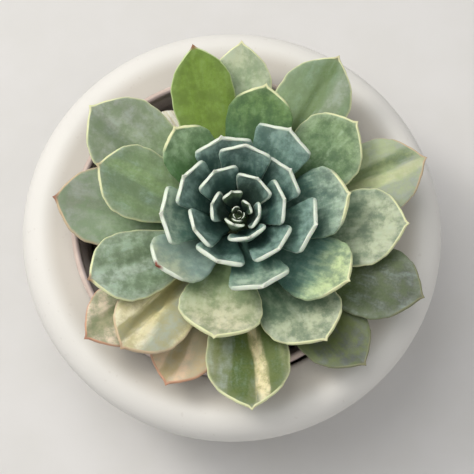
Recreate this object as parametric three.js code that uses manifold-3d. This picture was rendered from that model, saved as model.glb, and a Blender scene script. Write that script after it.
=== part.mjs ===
// A potted rosette succulent: a glazed planter with a broad flat brim, a thin nursery pot set into
// its opening, soil, a short stem, and thick pointed leaves that wind round the stem in a spiral.
// Millimetres, +Z up. The origin is the middle of the planter's foot, on the surface it stands on.
import * as THREE from "three";
import { mergeVertices } from "three/addons/utils/BufferGeometryUtils.js";
import Module from "manifold-3d";

const wasm = await Module();
wasm.setup();

// ---- driving dimensions ----
const brimHeight = 68;
const planterRadius = 80;
const brimRadius = 70.5;
const edgeDrop = 10;
const footRadius = 50;
const planterFloor = 7;
const openingRadius = 57;

const potRimHeight = brimHeight + 8;
const potRimRadius = 57.5;
const potWall = 1.4;
const potFloorRadius = 43;
const potCentre = new THREE.Vector2(-2.4, -0.6);
const drainHoles = 6;
const drainHoleRadius = 3.5;
const drainRingRadius = 32;

const soilHeight = brimHeight - 4;
const soilDome = 1.6;
const gap = 0.35;

const stemAxis = new THREE.Vector2(2.4, -3.6);
const stemRadius = 6;
const rootDepth = 9;
const oldestSeat = brimHeight + 3.5;
const youngestSeat = brimHeight + 25.5;
const oldestAge = 49;

const degrees = THREE.MathUtils.degToRad;
const mix = THREE.MathUtils.lerp;

// ---- materials ----
function finish(color, roughness, metalness = 0) {
  return new THREE.MeshStandardMaterial({ color, roughness, metalness });
}

const glaze = finish(0xe2ddd6, 0.25);
const potPlastic = finish(0x9c8a86, 0.5);
const soilMix = finish(0x352c24, 0.95);
const stemSkin = finish(0x8b8f63, 0.7);
const youngLeaf = new THREE.Color(0x9dbab6);
const oldLeaf = new THREE.Color(0x7d9168);
const paperyLeaf = finish(0xe9dfcc, 0.85);

// ---- helpers ----
const model = new THREE.Group();

function place(name, geometry, material, centre) {
  const mesh = new THREE.Mesh(geometry, material);
  mesh.name = name;
  mesh.position.set(centre.x, centre.y, 0);
  model.add(mesh);
}

// A turned solid from (radius, height) points. LatheGeometry turns about Y, so Z is brought up.
function turned(points, segments) {
  const outline = points.map(([radius, height]) => new THREE.Vector2(radius, height));
  return new THREE.LatheGeometry(outline, segments).rotateX(Math.PI / 2);
}

// Points on a quarter of an ellipse, from angle `from` to angle `to` in degrees.
function arc(centreRadius, centreHeight, across, along, from, to, steps) {
  return Array.from({ length: steps + 1 }, (_, i) => {
    const angle = degrees(mix(from, to, i / steps));
    return [centreRadius + across * Math.cos(angle), centreHeight + along * Math.sin(angle)];
  });
}

function solid(geometry) {
  const bare = geometry.clone();
  bare.deleteAttribute("normal");
  bare.deleteAttribute("uv");
  const merged = mergeVertices(bare, 1e-4);
  return new wasm.Manifold(
    new wasm.Mesh({
      numProp: 3,
      vertProperties: merged.attributes.position.array,
      triVerts: new Uint32Array(merged.index.array),
    }),
  );
}

function geometryOf(manifold) {
  const mesh = manifold.getMesh();
  const geometry = new THREE.BufferGeometry();
  geometry.setAttribute("position", new THREE.BufferAttribute(mesh.vertProperties, 3));
  geometry.setIndex(new THREE.BufferAttribute(mesh.triVerts, 1));
  return geometry;
}

// ---- planter ----
// The flat brim falls away over a rounded edge to a small lip, and a bowl below it narrows to the foot.
function planter() {
  const edgeWidth = planterRadius - brimRadius;
  const edgeHeight = brimHeight - edgeDrop;
  const bowlTop = edgeHeight - 8;
  const bowlRadius = planterRadius - 6;
  const bowl = new THREE.CubicBezierCurve(
    new THREE.Vector2(bowlRadius, bowlTop),
    new THREE.Vector2(bowlRadius - 1, bowlTop - 22),
    new THREE.Vector2(footRadius + 14, 8),
    new THREE.Vector2(footRadius + 1.5, 1.5),
  ).getPoints(7);
  return turned(
    [
      [0, 2],
      [footRadius - 7, 2],
      [footRadius - 5, 0],
      [footRadius, 0],
      ...bowl.reverse().map((point) => [point.x, point.y]),
      [planterRadius - 2.5, edgeHeight - 5.5],
      [planterRadius - 0.6, edgeHeight - 3.5],
      ...arc(brimRadius, edgeHeight, edgeWidth, edgeDrop, 0, 90, 6),
      [openingRadius + 2, brimHeight],
      [openingRadius, brimHeight - 1.5],
      [openingRadius, brimHeight - 14],
      [footRadius + 1, planterFloor + 6],
      [footRadius - 1, planterFloor],
      [0, planterFloor],
    ],
    56,
  );
}

place("planter", planter(), glaze, new THREE.Vector2());

// ---- nursery pot ----
// A thin tapered wall with a rolled rim that sits above the brim, and a ring of drain holes.
const potFloorHeight = planterFloor + gap;
const potShoulder = potRimHeight - 8;
const wallTop = potRimRadius - 3.7;
const potInsideFloor = potFloorHeight + 1.6;

function potInside(height) {
  const share = (height - potInsideFloor) / (potShoulder - potInsideFloor);
  return mix(potFloorRadius, wallTop, share) - potWall;
}

function nurseryPot() {
  const shell = solid(
    turned(
      [
        [0, potFloorHeight],
        [potFloorRadius, potFloorHeight],
        [wallTop, potShoulder],
        [potRimRadius - 0.7, potShoulder + 0.8],
        [potRimRadius, potRimHeight - 1.2],
        ...arc(potRimRadius - 1.2, potRimHeight - 1.2, 1.2, 1.2, 20, 160, 4),
        [wallTop - potWall, potShoulder],
        [potFloorRadius - potWall, potInsideFloor],
        [0, potInsideFloor],
      ],
      48,
    ),
  );
  const hole = new THREE.CylinderGeometry(drainHoleRadius, drainHoleRadius, 6, 12).rotateX(Math.PI / 2);
  let drained = shell;
  for (let i = 0; i < drainHoles; i++) {
    const angle = (i / drainHoles) * 2 * Math.PI;
    const x = drainRingRadius * Math.cos(angle);
    const y = drainRingRadius * Math.sin(angle);
    drained = drained.subtract(solid(hole.clone().translate(x, y, potFloorHeight)));
  }
  return geometryOf(drained);
}

place("nursery_pot", nurseryPot(), potPlastic, potCentre);

// ---- soil ----
// Fills the pot to below its rim, a little domed, with a socket where the stem's root end sits.
const socketOffset = stemAxis.clone().sub(potCentre);

function soil() {
  const low = potInsideFloor + gap;
  const edge = potInside(soilHeight) - gap;
  const body = solid(
    turned(
      [
        [0, low],
        [potInside(low) - gap, low],
        [edge - 0.2, soilHeight - 1.5],
        [edge - 8, soilHeight],
        [18, soilHeight + 0.75 * soilDome],
        [0, soilHeight + soilDome],
      ],
      40,
    ),
  );
  const socketDepth = 16;
  const socket = new THREE.CylinderGeometry(stemRadius + 2 * gap, stemRadius - 1, socketDepth, 16)
    .rotateX(Math.PI / 2)
    .translate(socketOffset.x, socketOffset.y, soilHeight - rootDepth + socketDepth / 2 - gap);
  return geometryOf(body.subtract(solid(socket)));
}

place("soil", soil(), soilMix, potCentre);

// ---- stem ----
// Short and thick; it narrows to a dome where the youngest leaves sit.
const stemTop = youngestSeat + 1;

function stemRadiusAt(height) {
  const share = THREE.MathUtils.clamp((height - brimHeight) / (stemTop - brimHeight), 0, 1);
  return stemRadius * Math.sqrt(Math.max(0, 1 - 0.97 * share ** 2.6));
}

function stem() {
  const steps = 9;
  const flank = Array.from({ length: steps + 1 }, (_, i) => {
    const height = mix(brimHeight, stemTop, i / steps);
    return [stemRadiusAt(height), height];
  });
  return turned(
    [
      [0, soilHeight - rootDepth],
      [stemRadius - 2.2, soilHeight - rootDepth],
      [stemRadius - 0.4, soilHeight],
      ...flank,
      [0, stemTop],
    ],
    16,
  );
}

place("stem", stem(), stemSkin, stemAxis);

// ---- leaves ----
// Each leaf is a loft of closed sections from a narrow neck at the stem, through a broad blade, to a
// short hard point. `age` counts leaves from the growing tip outwards, so it sets how high the leaf
// sits on the stem and how flat it lies. `bearing` is its direction in degrees, `reach` how far the
// point is from the stem's axis, `width` the widest part of the blade, and `rise` the point's height
// over the brim. A leaf that differs from its neighbours also has a `sweep`, how far the point turns
// aside; a `fold`, the depth of the crease along its midrib; a `taper`, larger for a blunter end; a
// `plump`, its thickness as a share of the usual; or a `cup`, how strongly it curls round the stem.
const leafRows = [
  { age: 49, bearing: -114, reach: 64, width: 25, rise: 13, fold: 0.5, plump: 0.85 },
  { age: 46, bearing: -49, reach: 69, width: 26, rise: 17.5, taper: 3, plump: 0.85 },
  { age: 44, bearing: -142, reach: 69.5, width: 25, rise: 19 },
  { age: 41, bearing: -86, reach: 68.5, width: 30, rise: 20, fold: 1, taper: 3 },
  { age: 39, bearing: 172, reach: 68, width: 29, rise: 19.5, taper: 3 },
  { age: 38, bearing: -25, reach: 72, width: 28, rise: 23, sweep: 2, taper: 3.3 },
  { age: 37, bearing: 89, reach: 69.5, width: 23.5, rise: 20, taper: 3 },
  { age: 36, bearing: -131, reach: 63, width: 27, rise: 25.5, fold: 2, taper: 3 },
  { age: 35, bearing: 19, reach: 72.5, width: 28, rise: 22, fold: 1.5, taper: 3.3 },
  { age: 34, bearing: 142, reach: 69, width: 31, rise: 25 },
  { age: 33, bearing: -58, reach: 54, width: 29, rise: 23.5, sweep: 3, taper: 3.2 },
  { age: 32, bearing: 59, reach: 72, width: 28, rise: 25, taper: 2.5 },
  { age: 31, bearing: -156, reach: 58, width: 26, rise: 30 },
  { age: 30, bearing: -5, reach: 61, width: 29, rise: 26.5, sweep: 3, taper: 3 },
  { age: 29, bearing: 107, reach: 67, width: 23.5, rise: 28, sweep: -3 },
  { age: 28, bearing: -101, reach: 45, width: 30, rise: 28.5, taper: 3 },
  { age: 27, bearing: 37, reach: 55.5, width: 28, rise: 29, sweep: 2, taper: 3 },
  { age: 26, bearing: 160, reach: 54, width: 27, rise: 31 },
  { age: 25, bearing: -36, reach: 46, width: 26, rise: 32, sweep: 3, taper: 3 },
  { age: 24, bearing: 78, reach: 48.5, width: 24, rise: 34.4 },
  { age: 23, bearing: -139, reach: 34.5, width: 22, rise: 34.5, sweep: -4 },
  { age: 22, bearing: 9, reach: 40, width: 25.5, rise: 36 },
  { age: 21, bearing: 127, reach: 38, width: 20.5, rise: 37 },
  { age: 20, bearing: -73, reach: 29, width: 22.5, rise: 36.5 },
  { age: 19, bearing: 58, reach: 35, width: 22.5, rise: 38 },
  { age: 18, bearing: -176, reach: 27.5, width: 22, rise: 38.5 },
  { age: 17, bearing: -16, reach: 28, width: 21.5, rise: 38.5, sweep: 2 },
  { age: 16, bearing: 103, reach: 27, width: 21.5, rise: 39 },
  { age: 15, bearing: -112, reach: 20, width: 19, rise: 37 },
  { age: 14, bearing: 38, reach: 23.5, width: 18, rise: 38 },
  { age: 13, bearing: 150, reach: 22.5, width: 19, rise: 40.5 },
  { age: 12, bearing: -46, reach: 20.5, width: 19, rise: 39.5, cup: 1.25 },
  { age: 11, bearing: 83, reach: 22.5, width: 19.5, rise: 43, cup: 1.25 },
  { age: 10, bearing: -152, reach: 17.5, width: 16.5, rise: 41.5 },
  { age: 9, bearing: 10, reach: 16.5, width: 17.5, rise: 41 },
  { age: 8, bearing: 123, reach: 15.5, width: 17, rise: 41 },
  { age: 7, bearing: -70, reach: 11, width: 15.5, rise: 38.5 },
  { age: 6, bearing: 57, reach: 12.5, width: 15.5, rise: 40.5 },
  { age: 5, bearing: 168, reach: 9.5, width: 12, rise: 37 },
  { age: 4, bearing: -15, reach: 7.5, width: 11, rise: 37 },
  { age: 3, bearing: 110, reach: 7, width: 8.2, rise: 36.5 },
  { age: 2, bearing: -110, reach: 5, width: 8.5, rise: 35 },
  { age: 1, bearing: 35, reach: 4.5, width: 6.5, rise: 34 },
];

// Where each station lies along the midrib, from the neck to just short of the point.
const bladeStations = [0, 0.13, 0.28, 0.44, 0.6, 0.74, 0.86, 0.94, 0.98];
const budStations = [0, 0.4, 0.74, 0.94];
const widestAt = 0.66;
const neckWidth = 5.4;
const neckThickness = 1.8;
const usualTaper = 2.6;
const youngTaper = 4;
const youngUntil = 24;
const usualFold = 0.25;
const thickestAt = 0.55;

function neckScale(age) {
  return mix(0.3, 1, Math.min(1, age / 24));
}

// Half of the blade's width at a share of its length. Young leaves end in a squarer shoulder.
function halfWidth(leaf, share) {
  const neck = (neckWidth * neckScale(leaf.age)) / leaf.width;
  if (share < widestAt) {
    const opening = Math.sin((share / widestAt) * (Math.PI / 2)) ** 1.8;
    return (leaf.width / 2) * mix(neck, 1, opening);
  }
  const closing = (share - widestAt) / (1 - widestAt);
  const taper = leaf.taper ?? (leaf.age > youngUntil ? usualTaper : youngTaper);
  return (leaf.width / 2) * (1 - closing ** taper) ** 0.85;
}

function middleThickness(leaf, share) {
  const full = mix(1.5, 4.3, Math.min(1, leaf.age / 22)) * (leaf.plump ?? 1);
  const neck = neckThickness * neckScale(leaf.age);
  const swell = Math.sin(Math.min(1, share / thickestAt) * (Math.PI / 2));
  const past = Math.max(0, share - thickestAt) / (1 - thickestAt);
  const thinning = 1 - 0.62 * past ** 1.6;
  return mix(neck, full, swell) * thinning;
}

function edgeThickness(leaf, share) {
  const full = mix(0.7, 1.8, Math.min(1, leaf.age / 12));
  return Math.min(full, 0.8 * middleThickness(leaf, share));
}

// The section's outline: (share of half width, share of the middle or edge thickness) pairs,
// counter-clockwise as seen from the point looking back to the stem.
function section(half, middle, edge, fold) {
  const inset = Math.min(0.4 * edge, 0.3 * half);
  return [
    [0, 0.3 * middle - fold],
    [-0.5 * half, 0.36 * middle],
    [-(half - inset), 0.5 * edge],
    [-half, 0],
    [-(half - inset), -0.5 * edge],
    [-0.52 * half, -0.48 * middle - 0.1 * edge],
    [0, -0.7 * middle - 0.5 * fold],
    [0.52 * half, -0.48 * middle - 0.1 * edge],
    [half - inset, -0.5 * edge],
    [half, 0],
    [half - inset, 0.5 * edge],
    [0.5 * half, 0.36 * middle],
  ];
}

function midrib(leaf) {
  const grown = Math.max(0, leaf.age - 1) / (oldestAge - 1);
  const seat = leaf.seat ?? mix(youngestSeat, oldestSeat, grown ** 0.92);
  const foot = new THREE.Vector2(leaf.seat ? 0.4 : stemRadiusAt(seat) + gap + 0.25, seat);
  const point = new THREE.Vector2(leaf.reach, brimHeight + leaf.rise);
  const chord = point.clone().sub(foot);
  const bend = degrees(mix(16, 7, Math.min(1, grown * 1.6)));
  const pitch = chord.angle() - bend;
  const reachOut = 0.5 * chord.length();
  const lead = new THREE.Vector2(Math.cos(pitch), Math.sin(pitch)).multiplyScalar(reachOut);
  return new THREE.QuadraticBezierCurve(foot, foot.clone().add(lead), point);
}

// A closed skin over a row of equal rings, with a fan at the first ring and a point after the last.
function loft(rings, point) {
  const count = rings[0].length;
  const positions = [...rings.flat(), point].flatMap((p) => [p.x, p.y, p.z]);
  const faces = [];
  for (let ring = 0; ring < rings.length - 1; ring++) {
    for (let i = 0; i < count; i++) {
      const a = ring * count + i;
      const b = ring * count + ((i + 1) % count);
      faces.push(a, b, b + count, a, b + count, a + count);
    }
  }
  const last = (rings.length - 1) * count;
  for (let i = 0; i < count; i++) faces.push(last + i, last + ((i + 1) % count), rings.length * count);
  for (let i = 1; i < count - 1; i++) faces.push(0, i + 1, i);
  const geometry = new THREE.BufferGeometry();
  geometry.setAttribute("position", new THREE.Float32BufferAttribute(positions, 3));
  geometry.setIndex(faces);
  return geometry;
}

function leafGeometry(leaf) {
  const curve = midrib(leaf);
  const bearing = degrees(leaf.bearing);
  const outward = new THREE.Vector3(Math.cos(bearing), Math.sin(bearing), 0);
  const sideways = new THREE.Vector3(-Math.sin(bearing), Math.cos(bearing), 0);
  const up = new THREE.Vector3(0, 0, 1);
  const sweep = leaf.sweep ?? 0;
  const fold = leaf.fold ?? usualFold;

  function at(share, [across, lift], curl) {
    const centre = curve.getPoint(share);
    const slope = curve.getTangent(share);
    const inward = outward.clone().multiplyScalar(-slope.y).addScaledVector(up, slope.x);
    const turn = curl * across;
    const flat = Math.abs(curl) < 1e-6;
    const side = flat ? across : Math.sin(turn) / curl;
    const cup = flat ? 0 : (1 - Math.cos(turn)) / curl;
    return outward
      .clone()
      .multiplyScalar(centre.x)
      .addScaledVector(up, centre.y)
      .addScaledVector(sideways, sweep * share ** 2 + side - lift * Math.sin(turn))
      .addScaledVector(inward, cup + lift * Math.cos(turn));
  }

  const cupping = leaf.cup ?? mix(1.15, 0.75, Math.min(1, leaf.age / 24));
  const stations = leaf.age > 0 ? bladeStations : budStations;
  const rings = stations.map((share) => {
    const slope = curve.getTangent(share);
    const curl = (cupping * slope.y) / Math.max(2, curve.getPoint(share).x);
    const half = halfWidth(leaf, share);
    const crease = fold * Math.sin(Math.PI * Math.min(1, share / 0.95));
    const outline = section(half, middleThickness(leaf, share), edgeThickness(leaf, share), crease);
    return outline.map((corner) => at(share, corner, curl));
  });
  return loft(rings, at(1, [0, 0], 0));
}

const leafNames = leafRows.map((_, i) => "leaf_" + String(i + 1).padStart(2, "0"));
leafRows.forEach((leaf, i) => {
  const color = youngLeaf.clone().lerp(oldLeaf, Math.min(1, leaf.age / 40));
  place(leafNames[i], leafGeometry(leaf), finish(color, 0.6), stemAxis);
});

// ---- withered leaf ----
// An old leaf dried to thin paper, shorter and narrower than it was, low among the oldest leaves.
const withered = {
  age: 42,
  bearing: 122,
  reach: 55,
  width: 17,
  rise: 6.5,
  taper: 5,
  plump: 0.3,
  cup: -0.6,
};
place("withered_leaf", leafGeometry(withered), paperyLeaf, stemAxis);

// ---- growing tip ----
// Tiny unopened leaves round a bud at the stem's top, all seated at the same height.
const tipLeaves = 6;
const turnPerLeaf = 137.5;

function growingTip() {
  const low = stemTop + gap;
  let tip = solid(turned([[0, low], [0.9, low], [1.3, low + 1.4], [0.6, low + 3], [0, low + 3.6]], 10));
  for (let i = 0; i < tipLeaves; i++) {
    const leaf = {
      age: 0,
      bearing: 170 + turnPerLeaf * i,
      reach: mix(3.2, 1.4, i / (tipLeaves - 1)),
      width: mix(4, 2.4, i / (tipLeaves - 1)),
      rise: mix(32.5, 31.5, i / (tipLeaves - 1)),
      seat: low + 0.3,
    };
    tip = tip.add(solid(leafGeometry(leaf)));
  }
  return geometryOf(tip);
}

place("growing_tip", growingTip(), finish(youngLeaf, 0.6), stemAxis);

export default model;
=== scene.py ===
# A potted rosette succulent: a glazed planter with a broad flat brim, a nursery pot set into it,
# gritty soil, a short stem, and thick pale-edged leaves in a spiral. Metres, +Z up.
import math
import random

import bmesh
import bpy
from mathutils import Matrix, Vector, noise


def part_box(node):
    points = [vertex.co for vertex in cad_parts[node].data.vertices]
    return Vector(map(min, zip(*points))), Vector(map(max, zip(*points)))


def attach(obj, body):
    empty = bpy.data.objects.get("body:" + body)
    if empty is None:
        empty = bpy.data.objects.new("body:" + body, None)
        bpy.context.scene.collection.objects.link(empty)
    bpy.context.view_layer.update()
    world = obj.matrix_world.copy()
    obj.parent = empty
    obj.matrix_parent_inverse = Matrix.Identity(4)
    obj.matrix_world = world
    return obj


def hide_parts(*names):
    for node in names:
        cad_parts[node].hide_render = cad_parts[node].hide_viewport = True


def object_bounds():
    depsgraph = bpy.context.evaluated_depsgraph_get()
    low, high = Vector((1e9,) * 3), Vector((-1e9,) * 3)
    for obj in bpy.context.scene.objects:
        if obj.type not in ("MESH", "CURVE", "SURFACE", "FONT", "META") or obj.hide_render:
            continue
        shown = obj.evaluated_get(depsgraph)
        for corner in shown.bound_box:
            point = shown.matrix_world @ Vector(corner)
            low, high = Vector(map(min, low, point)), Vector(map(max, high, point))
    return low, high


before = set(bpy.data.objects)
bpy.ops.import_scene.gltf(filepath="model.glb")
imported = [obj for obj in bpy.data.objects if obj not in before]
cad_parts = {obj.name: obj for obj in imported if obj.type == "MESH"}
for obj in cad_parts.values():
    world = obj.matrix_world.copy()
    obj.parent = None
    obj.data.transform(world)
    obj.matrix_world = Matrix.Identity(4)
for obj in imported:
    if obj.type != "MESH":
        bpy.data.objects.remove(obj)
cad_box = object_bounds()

MM = 0.001
planter_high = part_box("planter")[1]
brim_height = planter_high.z
planter_radius = planter_high.x

# ---- Camera ----
# It looks down on the pot from in front, 14 degrees off the vertical, through a long lens, at a
# point a little to the right of the middle and just under the brim.
camera_rise = math.radians(76)
camera_distance = 0.620
camera_aim = Vector((1.914, -1.86, brim_height / MM - 10)) * MM
sensor_width = 36
focal_length = 123
camera = bpy.data.objects.new("camera", bpy.data.cameras.new("camera"))
camera.data.sensor_width = sensor_width
camera.data.lens = focal_length
camera.data.clip_start = 0.01
camera_back = Vector((0, -math.cos(camera_rise), math.sin(camera_rise)))
camera.location = camera_aim + camera_distance * camera_back
camera.rotation_euler = (math.pi / 2 - camera_rise, 0, 0)
bpy.context.scene.collection.objects.link(camera)
bpy.context.scene.camera = camera

# ---- Planter ----
# One turned ceramic piece with an off-white glaze: a flat brim round the opening, a rounded outer
# edge with a small lip under it, and a bowl that narrows to a foot ring.
def new_piece(name, mesh, node):
    piece = bpy.data.objects.new(name, mesh)
    bpy.context.scene.collection.objects.link(piece)
    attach(piece, "root")
    if node:
        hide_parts(node)
    return piece


def smooth_mesh(bm, name):
    bmesh.ops.recalc_face_normals(bm, faces=bm.faces)
    for face in bm.faces:
        face.smooth = True
    mesh = bpy.data.meshes.new(name)
    bm.to_mesh(mesh)
    bm.free()
    return mesh


def spun(profile, steps, centre):
    """A closed turned body from (radius, height) points in millimetres, about a vertical axis."""
    bm = bmesh.new()
    verts = [bm.verts.new(Vector((radius, 0, height)) * MM) for radius, height in profile]
    edges = [bm.edges.new(pair) for pair in zip(verts, verts[1:])]
    bmesh.ops.spin(bm, geom=verts + edges, cent=(0, 0, 0), axis=(0, 0, 1),
                   angle=2 * math.pi, steps=steps, use_merge=True)
    bmesh.ops.remove_doubles(bm, verts=bm.verts, dist=1e-6)
    bmesh.ops.translate(bm, verts=bm.verts, vec=centre)
    return bm


def arc(centre, across, along, start, end, steps):
    """Points of an ellipse's arc, between two angles in degrees."""
    angles = [math.radians(start + (end - start) * i / steps) for i in range(steps + 1)]
    return [(centre[0] + across * math.cos(a), centre[1] + along * math.sin(a)) for a in angles]


class Field:
    """A shader socket that Python's operators build Math nodes from."""

    def __init__(self, tree, socket):
        self.tree = tree
        self.socket = socket

    def node(self, kind, settings=None, output=0, **sockets):
        made = self.tree.nodes.new(kind)
        for name, value in (settings or {}).items():
            setattr(made, name, value)
        for key, value in sockets.items():
            place = int(key[1:]) if key[1:].isdigit() else key.replace("_", " ")
            link_or_set(self.tree, made.inputs[place], value)
        return Field(self.tree, made.outputs[output])

    def maths(self, operation, first, second):
        return self.node("ShaderNodeMath", {"operation": operation}, i0=first, i1=second)

    def __add__(self, other):
        return self.maths("ADD", self, other)

    def __sub__(self, other):
        return self.maths("SUBTRACT", self, other)

    def __mul__(self, other):
        return self.maths("MULTIPLY", self, other)

    def __truediv__(self, other):
        return self.maths("DIVIDE", self, other)

    def __rsub__(self, other):
        return self.maths("SUBTRACT", other, self)

    __radd__ = __add__
    __rmul__ = __mul__

    def step(self, low, high):
        """0 below low, 1 above high, smooth between."""
        return self.node("ShaderNodeMapRange", {"interpolation_type": "SMOOTHSTEP"},
                         Value=self, From_Min=low, From_Max=high)

    def mix(self, low, high):
        """The colour low where this is 0 and high where it is 1."""
        return self.node("ShaderNodeMix", {"data_type": "RGBA"}, 2, i0=self, i6=low, i7=high)


def link_or_set(tree, socket, value):
    if isinstance(value, Field):
        tree.links.new(value.socket, socket)
    elif isinstance(value, (tuple, list)) and len(value) == 3 and socket.type == "RGBA":
        socket.default_value = (*value, 1)
    else:
        socket.default_value = value


def rgb(red, green, blue):
    """A colour given as display values from 0 to 255, as the linear values that shaders take."""
    return tuple(((v / 255 + 0.055) / 1.055) ** 2.4 for v in (red, green, blue))


def new_material(name, **constants):
    """A Principled material, its first Field, and its shader node, with constants set on sockets."""
    material = bpy.data.materials.new(name)
    material.use_nodes = True
    tree = material.node_tree
    shader = tree.nodes["Principled BSDF"]
    for socket, value in constants.items():
        shader.inputs[socket.replace("_", " ")].default_value = value
    start = Field(tree, None)
    return material, start, shader


def finish_material(tree, shader, colour, roughness, bump=None, height=0.0002, strength=1.0):
    link_or_set(tree, shader.inputs["Base Color"], colour)
    link_or_set(tree, shader.inputs["Roughness"], roughness)
    if bump is not None:
        normal = bump.node("ShaderNodeBump", Height=bump, Distance=height, Strength=strength)
        link_or_set(tree, shader.inputs["Normal"], normal)


def object_place(start):
    return start.node("ShaderNodeTexCoord", output=3)


def axis_distance(where, centre):
    """How far a place is from a vertical axis through the centre, in metres."""
    level = where.node("ShaderNodeMapping", Vector=where, Scale=(1.0, 1.0, 0.0), Location=-centre)
    return where.node("ShaderNodeVectorMath", {"operation": "LENGTH"}, 1, i0=level)


brim_radius = 70.5
edge_drop = 10


def glaze_material():
    material, start, shader = new_material("glaze", Coat_Weight=0.08, Coat_Roughness=0.5, IOR=1.45)
    where = object_place(start)
    cloud = start.node("ShaderNodeTexNoise", Vector=where, Scale=14.0, Detail=4.0)
    fine = start.node("ShaderNodeTexNoise", Vector=where, Scale=900.0, Detail=2.0)
    speck = start.node("ShaderNodeTexNoise", Vector=where, Scale=420.0, Detail=1.0).step(0.71, 0.76)
    # Painted highlight: the rounded outer edge is lighter all round. It stands in for light on the rounded
    # edge, and partly for the glaze running thinner there.
    thin_glaze_and_highlight = axis_distance(where, Vector()).step((brim_radius - 5) * MM, (brim_radius + 2.5) * MM)
    flat = cloud.step(0.3, 0.7).mix(rgb(203, 198, 189), rgb(209, 204, 195))
    colour = thin_glaze_and_highlight.mix(flat, rgb(232, 230, 225))
    colour = (speck * 0.12).mix(colour, rgb(176, 166, 152))
    rough = 0.6 + 0.1 * cloud
    finish_material(start.tree, shader, colour, rough, cloud * 0.8 + fine * 0.2, 0.0003, 0.35)
    return material


foot_radius = 50
opening_radius = 57
planter_floor = 7
height_mm = brim_height / MM
radius_mm = planter_radius / MM
edge_height = height_mm - edge_drop


def bowl_profile(steps=14):
    """The outside of the bowl, from the foot up, as a cubic curve."""
    points = [Vector(p) for p in ((foot_radius + 1.5, 1.5), (foot_radius + 14, 8),
                                  (radius_mm - 7, edge_height - 30), (radius_mm - 6, edge_height - 8))]
    profile = []
    for i in range(steps + 1):
        t = i / steps
        weights = ((1 - t) ** 3, 3 * t * (1 - t) ** 2, 3 * t * t * (1 - t), t ** 3)
        profile.append(tuple(sum((w * p for w, p in zip(weights, points)), Vector((0, 0)))))
    return profile


planter_profile = [
    (0, 2), (foot_radius - 7, 2), (foot_radius - 6.2, 1.6), (foot_radius - 5, 0.1), (foot_radius - 4.4, 0),
    (foot_radius - 0.6, 0), (foot_radius + 0.4, 0.4),
    *bowl_profile(),
    (radius_mm - 4.6, edge_height - 6.8), *arc((radius_mm - 2.6, edge_height - 3.2), 2.4, 2.6, -80, 0, 6),
    *arc((brim_radius, edge_height), radius_mm - brim_radius, edge_drop, 0, 84, 18),
    (brim_radius - 0.6, height_mm - 0.02), (brim_radius - 3, height_mm),
    (opening_radius + 2.4, height_mm), *arc((opening_radius + 2, height_mm - 2), 2, 2, 90, 180, 5),
    (opening_radius, height_mm - 14), (foot_radius + 1, planter_floor + 6),
    *arc((foot_radius - 3, planter_floor + 4), 3.6, 4, 0, -90, 5), (0, planter_floor),
]
bowl = spun(planter_profile, 192, Vector())
planter = new_piece("glazed_planter", smooth_mesh(bowl, "glazed_planter"), "planter")
planter.data.materials.append(glaze_material())

# ---- Nursery pot ----
# Thin mauve-brown moulded plastic with a rolled rim that stands above the brim, and drain holes.
pot_low, pot_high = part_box("nursery_pot")
pot_centre = Vector(((pot_low.x + pot_high.x) / 2, (pot_low.y + pot_high.y) / 2, 0))
pot_rim = pot_high.z / MM
pot_floor = pot_low.z / MM
rim_radius = (pot_high.x - pot_low.x) / 2 / MM
wall_top = rim_radius - 3.7
pot_wall = 1.4
floor_radius = 43
drain_holes = 6
drain_hole_radius = 3.5
drain_ring_radius = 32


def drilled(mesh, drill):
    """The mesh with the drill's solids cut out of it."""
    body = bpy.data.objects.new("body", mesh)
    cutter = bpy.data.objects.new("cutter", drill)
    for item in (body, cutter):
        bpy.context.scene.collection.objects.link(item)
    cut = body.modifiers.new("cut", "BOOLEAN")
    cut.object = cutter
    cut.solver = "EXACT"
    ready = body.evaluated_get(bpy.context.evaluated_depsgraph_get())
    made = bpy.data.meshes.new_from_object(ready)
    bpy.data.objects.remove(body)
    bpy.data.objects.remove(cutter)
    made.name = mesh.name
    return made


def pot_plastic_material():
    material, start, shader = new_material("pot_plastic", IOR=1.45)
    where = object_place(start)
    dust = start.node("ShaderNodeTexNoise", Vector=where, Scale=60.0, Detail=5.0)
    grain = start.node("ShaderNodeTexNoise", Vector=where, Scale=1600.0, Detail=2.0)
    height = start.node("ShaderNodeSeparateXYZ", output=2, Vector=where)
    out = axis_distance(where, pot_centre)
    # Painted highlight: the top of the rolled rim is paler, where the rim catches the light.
    outer_half = out.step((rim_radius - 1.9) * MM, (rim_radius - 1.2) * MM)
    lip_highlight = height.step((pot_rim - 2.2) * MM, (pot_rim - 0.9) * MM) * outer_half
    wall = dust.step(0.35, 0.7).mix(rgb(172, 154, 152), rgb(208, 194, 192))
    rim = dust.step(0.4, 0.65).mix(rgb(206, 186, 176), rgb(232, 212, 200))
    colour = lip_highlight.mix(wall, rim)
    finish_material(start.tree, shader, colour, 0.42 + 0.2 * dust, dust * 0.5 + grain * 0.5, 0.0002, 0.3)
    return material


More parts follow.
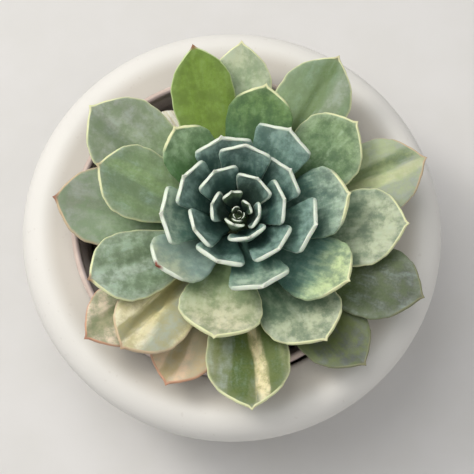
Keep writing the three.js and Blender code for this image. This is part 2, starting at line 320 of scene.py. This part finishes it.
pot_profile = [
    (0, pot_floor), (floor_radius - 1, pot_floor), (floor_radius, pot_floor + 1),
    (wall_top, pot_rim - 8), (rim_radius - 1.2, pot_rim - 7.6), (rim_radius - 0.5, pot_rim - 7),
    (rim_radius - 0.3, pot_rim - 4), (rim_radius - 1.0, pot_rim - 3.4), (rim_radius - 0.9, pot_rim - 2.8),
    *arc((rim_radius - 1.3, pot_rim - 1.3), 1.3, 1.3, -20, 170, 10),
    (rim_radius - 2.7, pot_rim - 2.4), (rim_radius - 3.1, pot_rim - 3.6),
    (wall_top - pot_wall + 0.4, pot_rim - 6), (wall_top - pot_wall, pot_rim - 9),
    (floor_radius - pot_wall, pot_floor + 2.4), (floor_radius - pot_wall - 1.2, pot_floor + 1.6),
    (0, pot_floor + 1.6),
]
shell = spun(pot_profile, 144, pot_centre)
drills = bmesh.new()
for i in range(drain_holes):
    spot = Vector((drain_ring_radius, 0, pot_floor)) * MM
    turn = Matrix.Rotation(i * 2 * math.pi / drain_holes, 4, "Z") @ Matrix.Translation(spot)
    bmesh.ops.create_cone(drills, cap_ends=True, segments=32, radius1=drain_hole_radius * MM,
                          radius2=drain_hole_radius * MM, depth=4 * pot_wall * MM,
                          matrix=Matrix.Translation(pot_centre) @ turn)
nursery_pot = new_piece("moulded_nursery_pot", drilled(smooth_mesh(shell, "moulded_nursery_pot"),
                        smooth_mesh(drills, "drills")), "nursery_pot")
nursery_pot.data.materials.append(pot_plastic_material())

# ---- Soil ----
# Dark gritty potting mix, a little domed, with crumbs and pale grit on top.
soil_low, soil_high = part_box("soil")
soil_radius = (soil_high.x - soil_low.x) / 2


def soil_material():
    material, start, shader = new_material("soil_mix", IOR=1.4)
    where = object_place(start)
    clump = start.node("ShaderNodeTexNoise", Vector=where, Scale=180.0, Detail=8.0, Roughness=0.7)
    crumb = start.node("ShaderNodeTexVoronoi", Vector=where, Scale=620.0)
    colour = clump.step(0.3, 0.75).mix(rgb(38, 31, 26), rgb(96, 82, 68))
    colour = crumb.step(0.0, 0.9).mix(rgb(28, 22, 18), colour)
    finish_material(start.tree, shader, colour, 0.85 + 0.1 * clump, clump + crumb * 0.5, 0.0012, 0.9)
    return material


def grit_material():
    material, start, shader = new_material("pale_grit", IOR=1.4)
    where = object_place(start)
    pore = start.node("ShaderNodeTexNoise", Vector=where, Scale=900.0, Detail=4.0)
    colour = pore.step(0.35, 0.65).mix(rgb(150, 138, 118), rgb(222, 212, 192))
    finish_material(start.tree, shader, colour, 0.9, pore, 0.0004, 0.8)
    return material


soil_top = soil_high.z
dome = 0.0012
lump = 0.0008
edge_level = 0.0024
ring_widths = (0.0016, 0.003, 0.004, 0.005, 0.006, 0.006, 0.006, 0.006)
bed = bmesh.new()
bmesh.ops.create_circle(bed, cap_ends=True, radius=soil_radius - 0.0002, segments=96)
wall = bmesh.ops.extrude_face_region(bed, geom=list(bed.faces))["geom"]
top_verts = [item for item in wall if isinstance(item, bmesh.types.BMVert)]
bmesh.ops.translate(bed, verts=top_verts, vec=(0, 0, soil_top - soil_low.z - edge_level))
for vert in bed.verts:
    if vert not in top_verts:
        vert.co.xy *= (floor_radius - pot_wall - 0.6) * MM / soil_radius
rings = [item for item in wall if isinstance(item, bmesh.types.BMFace)]
for width in ring_widths:
    bmesh.ops.inset_region(bed, faces=rings, thickness=width, use_even_offset=True)
bmesh.ops.poke(bed, faces=rings)
bed_top = [v for v in bed.verts if v.co.z > soil_top - soil_low.z - 0.003]
bmesh.ops.translate(bed, verts=bed.verts, vec=(pot_centre.x, pot_centre.y, soil_low.z))
for vert in bed_top:
    out = (vert.co - pot_centre).xy.length / soil_radius
    lumps = noise.fractal(vert.co * 160, 1.0, 2.0, 4)
    vert.co.z += dome * (1 - out) + (lump * lumps if out < 0.97 else 0)
soil = new_piece("potting_soil", smooth_mesh(bed, "potting_soil"), "soil")
soil.data.materials.append(soil_material())


def scattered(name, count, sizes, seed, material):
    """Crumbs half sunk in the soil, their sizes in millimetres, placed by a seeded draw."""
    draw = random.Random(seed)
    heap = bmesh.new()
    for _ in range(count):
        size = draw.uniform(*sizes) * MM
        angle = draw.uniform(0, 2 * math.pi)
        away = (soil_radius - 0.003) * math.sqrt(draw.uniform(0.06, 1))
        spot = pot_centre + Vector((away * math.cos(angle), away * math.sin(angle), soil_top - 0.0018))
        turn = Matrix.Rotation(draw.uniform(0, 6.28), 4, Vector([draw.uniform(-1, 1) for _ in range(3)]))
        squash = Matrix.Diagonal((draw.uniform(0.6, 1.2), draw.uniform(0.6, 1), draw.uniform(0.4, 0.8), 1))
        place = Matrix.Translation(spot) @ turn @ squash
        bmesh.ops.create_icosphere(heap, subdivisions=1, radius=size / 2, matrix=place)
    piece = new_piece(name, smooth_mesh(heap, name), None)
    piece.data.materials.append(material)


scattered("soil_crumbs", 520, (1.2, 3.6), 4, soil.data.materials[0])
scattered("pale_grit", 150, (1.0, 3.2), 9, grit_material())

# ---- Stem ----
# A short thick stem of pale brown skin, greener at the top, ringed with the scars of shed leaves. It
# stands in the soil, narrows upward and carries every leaf.
stem_low, stem_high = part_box("stem")
stem_axis = Vector(((stem_low.x + stem_high.x) / 2, (stem_low.y + stem_high.y) / 2, 0))
stem_radius = (stem_high.x - stem_low.x) / 2
stem_length = stem_high.z - stem_low.z


def stem_material():
    material, start, shader = new_material("stem_skin", IOR=1.4)
    where = object_place(start)
    bark = start.node("ShaderNodeTexNoise", Vector=where, Scale=320.0, Detail=6.0)
    colour = bark.step(0.35, 0.68).mix(rgb(92, 84, 56), rgb(150, 138, 98))
    height = start.node("ShaderNodeSeparateXYZ", output=2, Vector=where)
    fresh = height.step(stem_high.z - 0.014, stem_high.z - 0.004)
    colour = fresh.mix(colour, rgb(84, 104, 70))
    finish_material(start.tree, shader, colour, 0.7, bark, 0.0006, 0.8)
    return material


stem_body = bmesh.new()
bmesh.ops.create_cone(stem_body, cap_ends=True, segments=64, radius1=1, radius2=1, depth=1)
sides = [edge for edge in stem_body.edges if abs(edge.verts[0].co.z - edge.verts[1].co.z) > 0.5]
bmesh.ops.subdivide_edges(stem_body, edges=sides, cuts=40)
for vert in stem_body.verts:
    turn = math.atan2(vert.co.y, vert.co.x)
    up = vert.co.z + 0.5
    scar = 0.04 * math.sin(up * 44 + turn * 3) * math.sin(turn * 4 + up * 9)
    share = max(0, stem_low.z + up * stem_length - brim_height) / (stem_high.z - brim_height)
    narrow = (0.92 + scar) * math.sqrt(max(0.01, 1 - 0.97 * share ** 2.6))
    vert.co.x *= stem_radius * narrow
    vert.co.y *= stem_radius * narrow
    vert.co.z = stem_low.z + up * stem_length
bmesh.ops.translate(stem_body, verts=stem_body.verts, vec=stem_axis)
stem = new_piece("scarred_stem", smooth_mesh(stem_body, "scarred_stem"), "stem")
stem.data.materials.append(stem_material())

# ---- Leaves ----
# Thick water-filled leaves, each a closed skin with blunt pale margins and a hard point. Each takes
# its form from its solid's rings of twelve points, which are rounded and then given its creases.
RING = 12
MARGINS = (3, 9)


def ring_levels(tip):
    """How many rings each vertex is from the tip."""
    level = {tip: 0}
    queue = [tip]
    for vert in queue:
        for edge in vert.link_edges:
            other = edge.other_vert(vert)
            if other not in level:
                level[other] = level[vert] + 1
                queue.append(other)
    return level


def join_quads(bm, level):
    """Takes out the diagonals between rings, and the triangles that close the neck."""
    diagonals = set()
    for face in bm.faces:
        for loop in face.loops:
            here, after = level[loop.vert], level[loop.link_loop_next.vert]
            before = level[loop.link_loop_prev.vert]
            if here == after == before + 1 and before > 0:
                diagonals.add(loop.link_loop_prev.edge)
    last = max(level.values())
    neck = [face for face in bm.faces if all(level[vert] == last for vert in face.verts)]
    bmesh.ops.dissolve_faces(bm, faces=neck)
    bmesh.ops.dissolve_edges(bm, edges=list(diagonals), use_verts=False)


def next_round(vert, level):
    for loop in vert.link_loops:
        after = loop.link_loop_next.vert
        if level[after] == level[vert] and min(level[v] for v in loop.face.verts) < level[vert]:
            return after


def leaf_rings(tip, level, side, normal):
    """Each ring's points in order, from the middle of the upper face, from the tip to the neck."""
    rings = []
    for depth in range(1, max(level.values()) + 1):
        if rings:
            start = next(e.other_vert(rings[-1][0]) for e in rings[-1][0].link_edges
                         if level[e.other_vert(rings[-1][0])] == depth)
        else:
            start = tip.link_edges[0].other_vert(tip)
        ring = [start]
        while len(ring) < RING:
            ring.append(next_round(ring[-1], level))
        rings.append(ring)
    widest = rings[len(rings) // 2]
    middle = sum((v.co for v in widest), Vector()) / RING
    shift = min(range(RING), key=lambda i: (widest[i].co - middle).dot(side))
    below = (widest[(shift + 3) % RING].co - widest[shift - 3].co).dot(normal) < 0
    shift = (shift - (MARGINS[0] if below else MARGINS[1])) % RING
    return [ring[shift:] + ring[:shift] for ring in rings]


def rounded(cage, levels):
    """The cage as Subdivision Surface leaves it."""
    holder = bpy.data.objects.new("cage", cage)
    bpy.context.scene.collection.objects.link(holder)
    surface = holder.modifiers.new("round", "SUBSURF")
    surface.levels = levels
    surface.render_levels = levels
    ready = holder.evaluated_get(bpy.context.evaluated_depsgraph_get())
    mesh = bpy.data.meshes.new_from_object(ready)
    bpy.data.objects.remove(holder)
    return mesh


# How much of each point's error a pass of fitting takes out.
fitting = 0.85


def leaf_mesh(node, levels, passes=2):
    """A fine closed skin through the solid's points, and the leaf's sideways direction.

    It carries where each point lies. "blade" is how far across and along the leaf in mm, and 1 on
    the upper face or 0 on the lower. "grow" is how far from the margin in mm, the share of the
    length from the stem, and half the leaf's width there in mm.
    """
    bm = bmesh.new()
    bm.from_mesh(bpy.data.objects[node].data)
    bmesh.ops.remove_doubles(bm, verts=bm.verts, dist=1e-6)
    blade = bm.verts.layers.float_vector.new("blade")
    grow = bm.verts.layers.float_vector.new("grow")
    lowest = min(bm.verts, key=lambda v: v.co.z)
    tip = max(bm.verts, key=lambda v: (v.co - lowest.co).length)
    level = ring_levels(tip)
    neck = [v for v in bm.verts if level[v] == max(level.values())]
    direction = (tip.co - sum((v.co for v in neck), Vector()) / RING).normalized()
    out = (tip.co - stem_axis) * Vector((1, 1, 0))
    side = out.cross(Vector((0, 0, 1))).normalized()
    normal = side.cross(direction)
    join_quads(bm, level)
    rings = leaf_rings(tip, level, side, normal)
    length = 0
    spots = [tip.co] + [sum((v.co for v in ring), Vector()) / RING for ring in rings]
    whole = sum((b - a).length for a, b in zip(spots, spots[1:]))
    tip[blade] = (0, whole / MM, 0.5)
    tip[grow] = (0, 1, 0)
    for ring, here, before in zip(rings, spots[1:], spots):
        length += (here - before).length
        half = (ring[MARGINS[0]].co - ring[MARGINS[1]].co).length / 2
        for i, vert in enumerate(ring):
            across = (vert.co - here).dot(side)
            top = 0.5 if i in MARGINS else (0 if MARGINS[0] < i < MARGINS[1] else 1)
            edge = 0 if i in MARGINS else max(0, half - abs(across))
            vert[blade] = (across / MM, (whole - length) / MM, top)
            vert[grow] = (edge / MM, 1 - length / whole, half / MM)
    cage = bpy.data.meshes.new("cage")
    bm.to_mesh(cage)
    bm.free()
    wanted = [v.co.copy() for v in cage.vertices]
    for _ in range(passes):
        fine = rounded(cage, 2)
        for vert, place, made in zip(cage.vertices, wanted, fine.vertices):
            vert.co += fitting * (place - made.co)
    return rounded(cage, levels), side


wax_dust = rgb(214, 220, 200)
hoar = rgb(186, 196, 180)
frost_tint = rgb(178, 204, 190)
underside = rgb(148, 164, 142)
point_red = rgb(132, 66, 48)


def leaf_material(name, inner, outer, rim, rim_width, bloom, blush, crescent, bands_with_painted_light=()):
    """Waxy skin: a deep colour near the stem and a paler one outward, partly painted shade and painted
    sunlight, with streaks of bloom and a margin.

    Crescent is the share of the length at which the outer colour and the margin gain strength.
    """
    material, start, shader = new_material(name, IOR=1.42, Subsurface_Weight=0.12,
                                           Subsurface_Scale=0.002)
    shader.inputs["Subsurface Radius"].default_value = (0.6, 1.0, 0.35)
    where = object_place(start)
    blade = start.node("ShaderNodeAttribute", {"attribute_name": "blade"}, 1)
    grow = start.node("ShaderNodeAttribute", {"attribute_name": "grow"}, 1)
    top = start.node("ShaderNodeSeparateXYZ", output=2, Vector=blade)
    edge = start.node("ShaderNodeSeparateXYZ", output=0, Vector=grow)
    along = start.node("ShaderNodeSeparateXYZ", output=1, Vector=grow)
    stretched = start.node("ShaderNodeMapping", Vector=blade, Scale=(1.0, 0.16, 3.0))
    streak = start.node("ShaderNodeTexNoise", Vector=stretched, Scale=0.75, Detail=5.0)
    mottle = start.node("ShaderNodeTexNoise", Vector=where, Scale=190.0, Detail=7.0, Roughness=0.68)
    cloud = start.node("ShaderNodeTexNoise", Vector=where, Scale=48.0, Detail=3.0)
    powder = start.node("ShaderNodeTexNoise", Vector=where, Scale=1300.0, Detail=3.0)
    # The deep colour near the stem and the pale one outward are partly the leaf's own colouring and partly
    # painted light: painted shade inside the rosette, painted sunlight on the open outer part.
    toward = (along + (cloud - 0.5) * 0.5 + (streak - 0.5) * 0.35).step(0.2 + 0.4 * crescent, 0.96)
    colour = toward.mix(inner, outer)
    across = start.node("ShaderNodeSeparateXYZ", output=0, Vector=blade)
    # Lengthwise bands: yellowed or greyed skin, and on leaf_04 a painted sun patch between painted
    # shadows.
    for offset, spread, tint, strength in bands_with_painted_light:
        away = across + (streak - 0.5) * 3.0 + (cloud - 0.5) * 4.0 - offset * along
        away = away.maths("ABSOLUTE", away, 0)
        band = away.step(spread * 1.25, spread * 0.5) * along.step(0.15, 0.4) * strength
        colour = band.mix(colour, tint)
    gritty = (powder.step(0.38, 0.62) * 0.16) * bloom
    colour = gritty.mix(colour, wax_dust)
    hoary = (edge + (mottle - 0.5) * 5.0).step(4.5, 0.6) * bloom * 0.6
    hoary = hoary * along.step(crescent - 0.05, crescent + 0.12)
    colour = hoary.mix(colour, hoar)
    dark = mottle.step(0.62, 0.36) * 0.65
    colour = dark.mix(colour, tuple(v * 0.6 for v in inner))
    frost = (streak * 0.35 + mottle * 0.65).step(0.5, 0.72) * bloom * 0.85
    colour = frost.mix(colour, frost_tint)
    # Painted shade: the leaf darkens toward the stem, where the leaves crowd and shade one another.
    base_shade = along.step(0.6, 0.05) * 0.6
    colour = base_shade.mix(colour, tuple(v * 0.45 for v in inner))
    under = top.step(0.6, 0.3)
    colour = (under * 0.5).mix(colour, underside)
    narrowing = 0.7 if crescent > 0.5 else 0.15
    wide = rim_width * (1.0 - narrowing * along.step(0.98, 0.8))
    margin = ((wide - edge - (mottle - 0.5) * 0.4) / (wide * 0.6)).step(0.0, 1.0)
    margin = margin * along.step(0.5 * crescent - 0.1, 0.5 * crescent + 0.1)
    margin = margin * (1.0 - 1.1 * narrowing * along.step(0.93, 0.86))
    colour = margin.mix(colour, rim)
    spot = along.step(0.972, 0.994) * blush
    colour = spot.mix(colour, point_red)
    grain = mottle * 0.5 + powder * 0.2 + streak * 0.3
    finish_material(start.tree, shader, colour, 0.48 + 0.16 * mottle, grain, 0.0004, 0.4)
    return material


# Leaf colours, and the pale or rusty ones of their margins.
bone = (240, 234, 206)
apricot = (234, 206, 174)
shell = (242, 222, 200)
straw = (222, 212, 152)
pistachio = (208, 226, 166)
olive = (134, 152, 76)
drab = (130, 134, 104)
moss = (100, 122, 68)
ash = (80, 86, 80)
lime = (120, 150, 56)
sage = (146, 172, 124)
mint = (158, 188, 144)
fern = (120, 144, 108)
grey_sage = (150, 158, 144)
pale_sage = (192, 200, 168)
buttermilk = (220, 216, 184)
sea_green = (88, 128, 100)
forest = (76, 116, 74)
meadow = (90, 132, 80)
grass = (122, 156, 94)
ice = (162, 190, 180)
teal = (74, 112, 100)
lagoon = (92, 134, 122)
deep_teal = (60, 96, 88)
night_teal = (56, 80, 70)
pale_teal = (140, 172, 162)
celadon = (180, 202, 178)
cream = (232, 236, 188)
frosty = (230, 240, 224)
rust = (208, 160, 132)
buff = (206, 184, 152)

# Each leaf's looks, from the oldest to the youngest: its colour near the stem, outward and at the
# margin, the margin's width in mm, how much bloom it has and how red its point is.
# Many of the pale colours on the older leaves carry painted sunlight, and the deep colours near the stem
# carry painted shade, deepest on the youngest leaves.
leaf_looks = [
    (bone, apricot, rust, 1.2, 0.10, 0.25),
    (olive, ash, drab, 0.8, 0.15, 0.12),
    (sage, shell, rust, 0.9, 0.12, 0.5),
    (olive, drab, cream, 0.9, 0.35, 0.12),
    (mint, grey_sage, buff, 1.0, 0.30, 0.8),
    (moss, ash, drab, 0.7, 0.35, 0.12),
    (mint, pale_sage, cream, 0.9, 0.35, 0.12),
    (straw, bone, buff, 1.0, 0.12, 0.4),
    (pistachio, grey_sage, buff, 0.7, 0.30, 0.12),
    (sage, grey_sage, cream, 0.9, 0.35, 0.12),
    (sea_green, pale_sage, cream, 0.9, 0.35, 0.12),
    (sage, fern, cream, 0.9, 0.25, 0.3),
    (fern, celadon, cream, 0.9, 0.60, 0.8),
    (sea_green, pale_sage, cream, 0.9, 0.35, 0.12),
    (lime, lime, pistachio, 0.8, 0.10, 0.9),
    (sage, buttermilk, cream, 0.9, 0.35, 0.12),
    (forest, sage, cream, 0.9, 0.35, 0.12),
    (sage, fern, cream, 0.9, 0.50, 0.5),
    (lagoon, pistachio, cream, 0.9, 0.40, 0.12),
    (forest, grass, cream, 0.9, 0.20, 0.12),
    (ice, pale_sage, frosty, 0.8, 0.55, 1.0),
    (teal, celadon, cream, 0.9, 0.50, 0.12),
    (meadow, mint, cream, 0.9, 0.20, 0.12),
    (lagoon, celadon, frosty, 1.2, 0.40, 0.12),
    (teal, pale_teal, frosty, 1.2, 0.35, 0.12),
    (lagoon, celadon, frosty, 1.2, 0.30, 0.12),
    (teal, pale_teal, frosty, 1.3, 0.35, 0.12),
    *[(deep_teal, pale_teal, frosty, 1.4, 0.25, 0.12)] * 10,
    *[(night_teal, pale_teal, frosty, 1.3, 0.20, 0.12)] * 3,
    *[(night_teal, fern, frosty, 0.8, 0.15, 0.12)] * 3,
]
# How deep a lengthwise fold the leaf has in its upper face, and how far it lies off the middle, in mm.
leaf_folds = {
    "leaf_01": (1.0, 2), "leaf_03": (0.9, 2), "leaf_04": (1.5, -2.5), "leaf_05": (0.6, 0),
    "leaf_08": (2.0, 2.0), "leaf_09": (1.6, -2.5), "leaf_10": (0.8, -2), "leaf_12": (1.0, 0),
    "leaf_13": (0.7, 1), "leaf_18": (0.5, 1),
}

# The half-width along a leaf, as a share of the widest: (share of the length, share of the width).
old_outline = [(0, 0.25), (0.2, 0.44), (0.4, 0.70), (0.56, 0.92), (0.68, 1.0), (0.78, 0.99), (0.87, 0.80),
               (0.95, 0.38), (1, 0.0)]
young_outline = [(0, 0.25), (0.2, 0.40), (0.4, 0.60), (0.6, 0.78), (0.75, 0.92), (0.85, 1.0),
                 (0.89, 0.94), (0.95, 0.42), (1, 0.0)]

# Lengthwise darker and paler bands on the older leaves, some where the skin has yellowed or greyed along a
# crease: how far off the middle in mm, half the width in mm, the colour, and how strong it is. On leaf_04
# the cream band is a painted sun patch and the two dark green bands are painted shadow.
leaf_bands_with_painted_light = {
    "leaf_01": [(2, 3.0, rgb(150, 142, 84), 0.6), (-9, 4.0, rgb(158, 148, 98), 0.5)],
    "leaf_03": [(1, 3.5, rgb(116, 126, 76), 0.6)],
    "leaf_04": [(4, 5.0, rgb(74, 100, 42), 0.85), (-5.5, 2.4, rgb(250, 236, 188), 0.95),
                (12, 2.5, rgb(150, 162, 150), 0.6), (-12, 3.0, rgb(80, 104, 48), 0.8)],
    "leaf_05": [(0, 3.0, rgb(112, 124, 92), 0.4)],
    "leaf_08": [(3.5, 2.2, rgb(112, 114, 66), 0.7), (-1.5, 1.6, rgb(232, 220, 164), 0.4),
                (-10, 5.0, rgb(158, 168, 154), 0.85)],
    "leaf_09": [(-4.5, 2.4, rgb(92, 116, 62), 0.7), (1.5, 2.2, rgb(214, 216, 160), 0.5),
                (10, 4.0, rgb(148, 156, 144), 0.7)],
    "leaf_10": [(-3, 2.5, rgb(104, 124, 96), 0.5), (4, 2.5, rgb(176, 190, 168), 0.4)],
    "leaf_12": [(0, 3.0, rgb(92, 118, 60), 0.7), (9, 3.5, rgb(164, 174, 158), 0.7)],
    "leaf_13": [(-3, 2.6, rgb(192, 206, 194), 0.5), (5, 3.0, rgb(112, 132, 96), 0.5)],
    "leaf_18": [(-4, 3.0, rgb(112, 134, 116), 0.5), (3, 2.4, rgb(150, 180, 116), 0.5)],
}


def between(stops, place):
    """The value at a place, on straight lines between (place, value) stops."""
    for (low, first), (high, second) in zip(stops, stops[1:]):
        if place <= high:
            return first + (second - first) * (place - low) / (high - low)
    return stops[-1][1]


def smoothed(value, low, high):
    """0 below low, 1 above high, smooth between, as a number."""
    t = min(1, max(0, (value - low) / (high - low)))
    return t * t * (3 - 2 * t)


# The small hard point at the tip, in mm: how far round it the skin is drawn out, and how long it is.
point_radius = 1.4
point_length = 0.9


def shaped_leaf(mesh, side, seed, fold, waves, outline, share):
    """Squares the shoulders, then adds the skin's slow swell, a fold, a wavy margin and a point.

    Share is how much of the outline's shape is taken, and waves is how strong the swell is.
    """
    bm = bmesh.new()
    bm.from_mesh(mesh)
    blade = bm.verts.layers.float_vector["blade"]
    grow = bm.verts.layers.float_vector["grow"]
    bm.normal_update()
    depth, off = fold
    tip = max(bm.verts, key=lambda v: v[grow].y)
    neck = min(bm.verts, key=lambda v: v[grow].y)
    aim = (tip.co - neck.co).normalized()
    widest = max(vert[grow].z for vert in bm.verts)
    whole = max(vert[blade].y for vert in bm.verts)
    closing = [(width, place) for place, width in reversed(outline) if place > 0.6]
    for vert in bm.verts:
        rise = vert[grow].y
        half = vert[grow].z
        target = between(outline, rise) * widest
        ratio = 1 + share * (min(1.35, max(0.55, target / max(0.3, half))) - 1)
        across = vert[blade].x
        vert.co += side * across * (ratio - 1) * MM
        reach = abs(across) * ratio
        to_end = (between(closing, reach / widest) - rise) * whole
        vert[blade].x = across * ratio
        vert[grow].x = max(0, min(half * ratio - reach, to_end))
    bm.normal_update()
    shifts = []
    for vert in bm.verts:
        across, along, top = vert[blade]
        edge, rise, half = vert[grow]
        open_face = smoothed(edge, 0, 3) * smoothed(rise, 0.02, 0.2)
        spot = Vector((across * 0.16, along * 0.09, seed))
        swell = noise.noise(spot) * 0.32 + noise.noise(spot * 2.7) * 0.13
        rib = noise.noise(Vector((across * 0.75, along * 0.04, seed + 5))) * 0.10
        push = waves * (swell + rib) * open_face
        if depth and top > 0.5:
            away = (across - off * smoothed(rise, 0.1, 0.6)) / 1.6
            length_share = smoothed(rise, 0.15, 0.5) * smoothed(1 - rise, 0.02, 0.3)
            push -= depth * math.exp(-away * away) * length_share
        margin_side = 3 if across > 0 else 8
        wave = noise.noise(Vector((along * 0.16, seed, margin_side))) * (1 - smoothed(edge, 0, 4))
        lift = 0.35 * waves * wave * smoothed(rise, 0.1, 0.4) * smoothed(1 - rise, 0, 0.12)
        shifts.append(vert.normal * push * MM + Vector((0, 0, lift * MM)))
    for vert, shift in zip(bm.verts, shifts):
        vert.co += shift
    room = min(1.0, max(0, (cad_box[1][2] - tip.co.z) / MM))
    point = tip.co.copy()
    for vert in bm.verts:
        near = (vert.co - point).length / MM
        if near < point_radius:
            vert.co += aim * MM * point_length * room * (1 - near / point_radius) ** 2
    bm.to_mesh(mesh)
    bm.free()
    return mesh


fineness = 3
first_tipped = 19
first_young = 24
for number, look in enumerate(leaf_looks, 1):
    node = f"leaf_{number:02d}"
    inner, outer, rim, rim_width, bloom, blush = look
    # The younger leaves keep the deep colour, painted shade, further out toward the tip.
    crescent = 0.82 if number >= first_tipped else 0.3
    shape = (0.6, young_outline, 1.0) if number >= first_young else (1.0, old_outline, 0.7)
    mesh, side = leaf_mesh(node, fineness)
    mesh = shaped_leaf(mesh, side, number * 7.3, leaf_folds.get(node, (0, 0)), *shape)
    for polygon in mesh.polygons:
        polygon.use_smooth = True
    mesh.name = node + "_blade"
    leaf = new_piece(node + "_blade", mesh, node)
    leaf.data.materials.append(leaf_material(node + "_skin", rgb(*inner), rgb(*outer), rgb(*rim),
                                             rim_width, bloom, blush, crescent,
                                             leaf_bands_with_painted_light.get(node, ())))

# ---- Withered leaf ----
# One of the oldest leaves, dried to pale crumpled paper and lying under its neighbours.
def paper_material():
    material, start, shader = new_material("dry_leaf", IOR=1.4)
    blade = start.node("ShaderNodeAttribute", {"attribute_name": "blade"}, 1)
    stretched = start.node("ShaderNodeMapping", Vector=blade, Scale=(1.0, 0.12, 1.0))
    vein = start.node("ShaderNodeTexNoise", Vector=stretched, Scale=1.1, Detail=4.0)
    stain = start.node("ShaderNodeTexNoise", Vector=object_place(start), Scale=110.0, Detail=5.0)
    colour = vein.step(0.36, 0.6).mix(rgb(232, 224, 198), rgb(253, 250, 238))
    colour = (stain.step(0.56, 0.72) * 0.5).mix(colour, rgb(196, 174, 134))
    finish_material(start.tree, shader, colour, 0.85, vein * 0.7 + stain * 0.3, 0.0006, 0.7)
    return material


small_crumple = 0.0006
broad_crumple = 0.0009
paper = leaf_mesh("withered_leaf", fineness)[0]
crumple = bmesh.new()
crumple.from_mesh(paper)
crumple.normal_update()
for vert in crumple.verts:
    vert.co.z += small_crumple * noise.noise(vert.co * 210) + broad_crumple * noise.noise(vert.co * 90)
crumple.to_mesh(paper)
crumple.free()
for polygon in paper.polygons:
    polygon.use_smooth = True
paper.name = "withered_paper"
withered = new_piece("withered_paper", paper, "withered_leaf")
withered.data.materials.append(paper_material())

# ---- Growing tip ----
# The next leaves, still closed round the bud: each is a smaller copy of the youngest open leaf,
# turned on from the one before by the same angle as all the others.
next_turn = math.radians(-137.5)
bud_leaves = 6
first_size = 0.66
next_size = 0.84
bud_foot = Vector((stem_axis.x, stem_axis.y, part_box("growing_tip")[0].z))
nest = bmesh.new()
youngest = leaf_mesh("leaf_43", 1)[0]
foot = Vector((stem_axis.x, stem_axis.y, min(v.co.z for v in youngest.vertices)))
for i in range(bud_leaves):
    size = first_size * next_size ** i
    turn = Matrix.Translation(bud_foot) @ Matrix.Rotation(next_turn * (i + 1), 4, "Z")
    part = bmesh.new()
    part.from_mesh(youngest)
    shrink = Matrix.Diagonal((size, size, size ** 0.8, 1)) @ Matrix.Translation(-foot)
    bmesh.ops.transform(part, matrix=turn @ shrink, verts=part.verts)
    copy = bpy.data.meshes.new("part")
    part.to_mesh(copy)
    part.free()
    nest.from_mesh(copy)
bud = new_piece("bud_nest", smooth_mesh(nest, "bud_nest"), "growing_tip")
bud.data.materials.append(leaf_material("bud_skin", rgb(84, 98, 78), rgb(128, 144, 122), rgb(*frosty),
                                        0.5, 0.2, 0.0, 0.7))

# ---- Floor and light ----
# A plain pale surface under the pot. A warm lamp and a broad soft one stand high on the left, a
# weaker warm one on the right, and there is even light all round.
def floor_material():
    material, start, shader = new_material("pale_floor", IOR=1.4)
    where = object_place(start)
    grain = start.node("ShaderNodeTexNoise", Vector=where, Scale=40.0, Detail=3.0)
    colour = grain.step(0.3, 0.7).mix(rgb(218, 217, 215), rgb(221, 220, 219))
    finish_material(start.tree, shader, colour, 0.8)
    return material


ground = bmesh.new()
bmesh.ops.create_grid(ground, x_segments=1, y_segments=1, size=4)
floor = bpy.data.objects.new("floor", smooth_mesh(ground, "floor"))
bpy.context.scene.collection.objects.link(floor)
floor.data.materials.append(floor_material())


lamp_distance = 1.6
surround = (0.96, 0.98, 1.0, 1)
surround_strength = 0.34


def lamp(name, azimuth, rise, size, power, colour):
    """A round lamp turned to the pot: angles in degrees, its size in metres and power in watts."""
    light = bpy.data.lights.new(name, "AREA")
    light.shape = "DISK"
    light.size = size
    light.energy = power
    light.color = colour
    holder = bpy.data.objects.new(name, light)
    turn, up = math.radians(azimuth), math.radians(rise)
    toward = Vector((math.cos(turn) * math.cos(up), math.sin(turn) * math.cos(up), math.sin(up)))
    holder.location = camera_aim + lamp_distance * toward
    holder.rotation_euler = toward.to_track_quat("Z", "Y").to_euler()
    bpy.context.scene.collection.objects.link(holder)


lamp("key", 150, 50, 0.45, 7.5, (1.0, 0.95, 0.87))
lamp("softbox", 145, 62, 1.5, 14.0, (1.0, 0.98, 0.95))
lamp("fill", -40, 68, 1.2, 3.4, (1.0, 0.93, 0.87))
world = bpy.data.worlds.new("studio")
world.use_nodes = True
world.node_tree.nodes["Background"].inputs["Color"].default_value = surround
world.node_tree.nodes["Background"].inputs["Strength"].default_value = surround_strength
bpy.context.scene.world = world
bpy.context.scene.view_settings.view_transform = "Standard"
